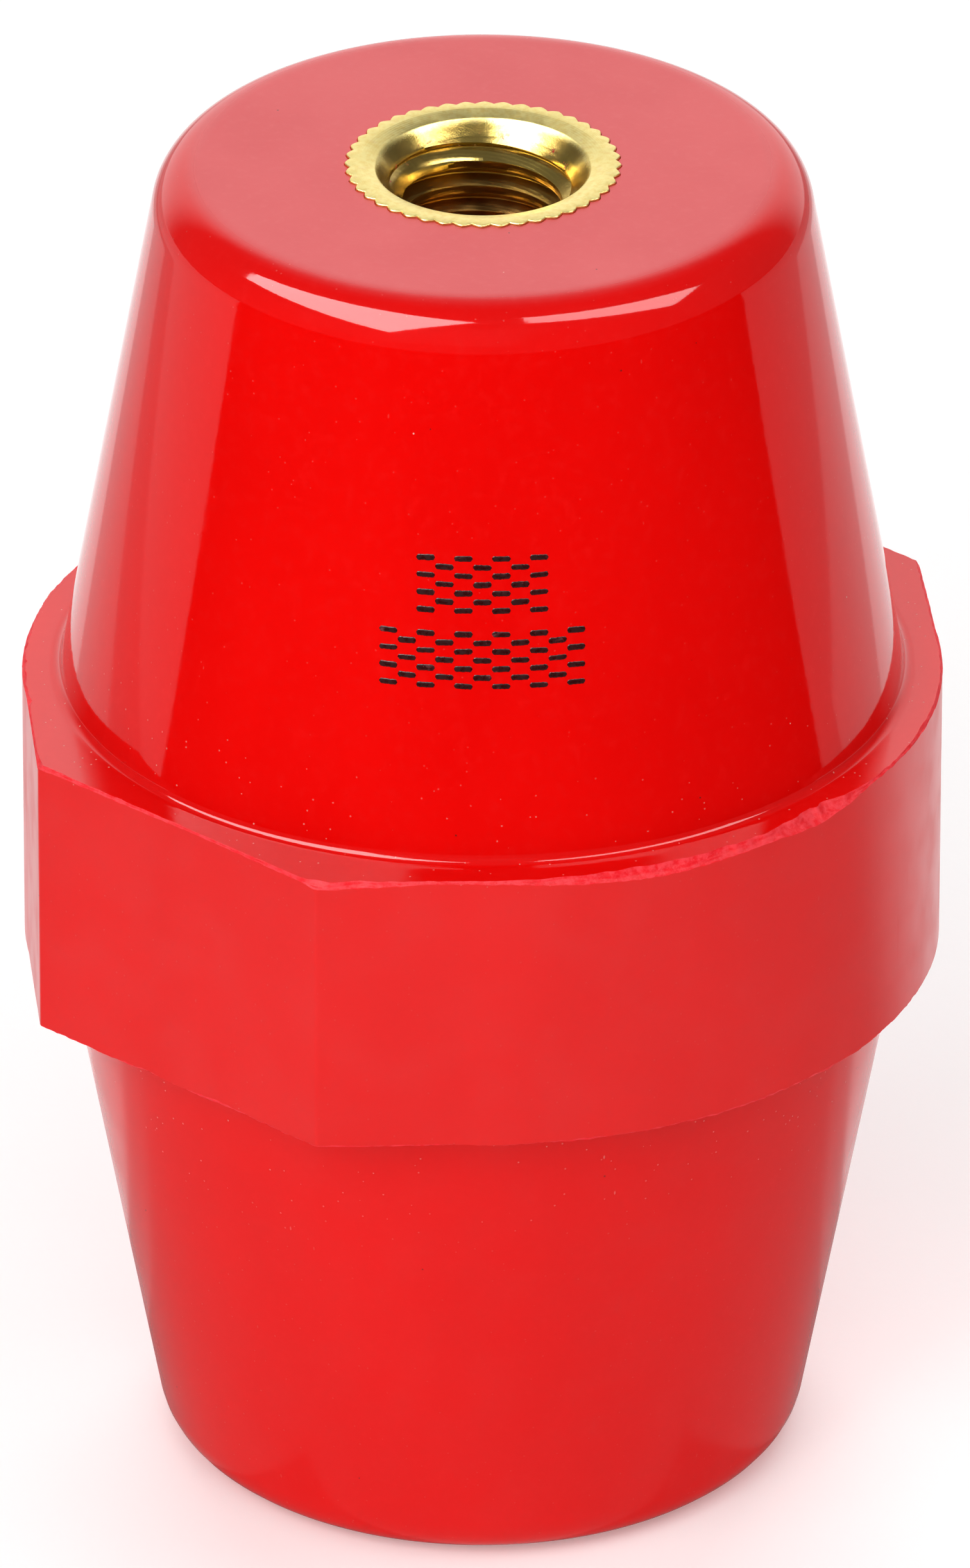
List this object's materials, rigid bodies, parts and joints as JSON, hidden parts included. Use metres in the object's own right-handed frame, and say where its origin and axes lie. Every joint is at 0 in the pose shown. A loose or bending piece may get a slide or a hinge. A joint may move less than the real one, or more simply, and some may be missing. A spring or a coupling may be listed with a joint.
{
  "type": "standoff insulator",
  "caption": "Drum-shaped moulded standoff insulator with a belt, two wrench flats, and a knurled brass threaded insert in each end, for holding a busbar clear of its panel.",
  "frame": {"origin": "centre of the lower insert's contact face, on the drum's axis", "axes": "+Z along the drum's axis towards the upper insert; the two wrench flats face -Y and +Y"},
  "size_m": [0.0494, 0.049, 0.076],
  "materials": {
    "moulded_polyester": "glossy red glass-filled polyester moulding, satin on the end faces and the belt, deflashed along the belt's edges",
    "insert_brass": "turned brass, pale and satin on the contact face, bright in the countersink, browner on the thread"
  },
  "bodies": {
    "root": {"insulator_body": "moulded_polyester", "top_insert": "insert_brass", "bottom_insert": "insert_brass"}
  },
  "joints": []
}
